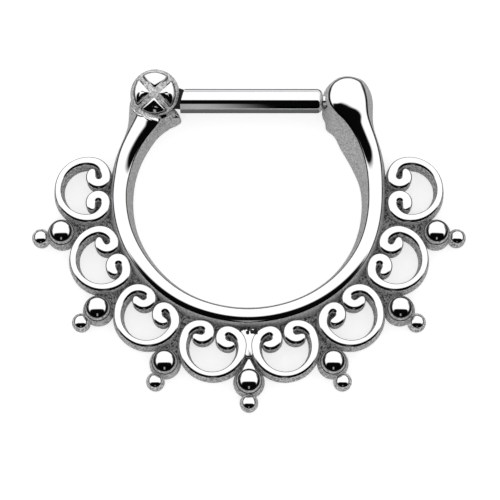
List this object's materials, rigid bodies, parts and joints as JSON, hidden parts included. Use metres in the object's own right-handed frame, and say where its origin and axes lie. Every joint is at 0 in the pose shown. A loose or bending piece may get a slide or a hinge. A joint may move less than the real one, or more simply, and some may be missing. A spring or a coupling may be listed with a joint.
{
  "type": "septum ring",
  "caption": "Polished steel septum ring with a hinged straight bar that clicks shut, and a fan of pierced C-scrolls and beads.",
  "frame": {"origin": "on the table under the middle of the ring's outline, which lies on its back", "axes": "+X to the right across the ring from the hinge bulb to the click bulb, +Y up the ring's face towards the bar, +Z out of its front face"},
  "size_m": [0.0214, 0.017, 0.0026],
  "materials": {
    "polished_steel": "mirror polished surgical steel",
    "plain_steel": "unpolished steel, as cast or as cut"
  },
  "bodies": {
    "ring": {"ring_body": "polished_steel", "hinge_pin": "plain_steel"},
    "bar": {"bar": "polished_steel"}
  },
  "joints": [
    {"name": "bar_hinge", "type": "hinge", "parent": "ring", "child": "bar", "pos_m": [-0.00465, 0.00728, 0.00124], "axis": [0, 0, 1], "range_deg": [0, 90]}
  ]
}
